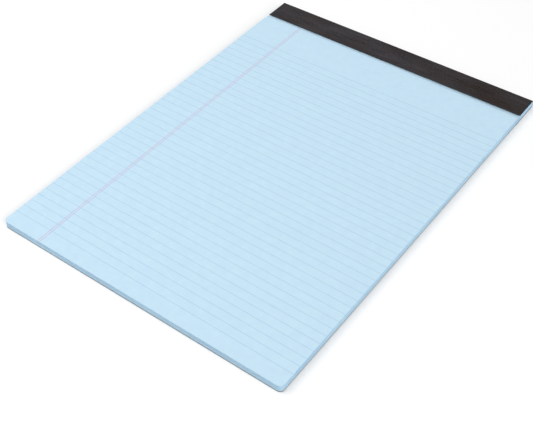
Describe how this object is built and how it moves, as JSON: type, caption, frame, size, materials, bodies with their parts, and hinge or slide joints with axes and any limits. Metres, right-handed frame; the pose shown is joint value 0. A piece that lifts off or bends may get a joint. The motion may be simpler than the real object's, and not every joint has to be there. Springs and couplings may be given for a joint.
{
  "type": "legal pad",
  "caption": "Letter-size legal pad of pale blue ruled sheets on a chipboard back, wire-stitched at the head and bound with folded black tape.",
  "frame": {"origin": "under the middle of the pad, on the surface that it lies on", "axes": "+X to the right of the page, +Y to the bound head, +Z out of the writing side"},
  "size_m": [0.216, 0.3008, 0.0057],
  "materials": {
    "paper": "uncoated bond paper dyed pale blue, printed with thin blue rules and a double red margin line",
    "board": "plain grey recycled chipboard, flecked",
    "tape": "black grained paper binding tape with a low sheen",
    "wire": "drawn galvanised stitching wire"
  },
  "bodies": {
    "root": {"page_block": "paper", "backing_board": "board", "binding_tape": "tape", "staples": "wire"}
  },
  "joints": []
}
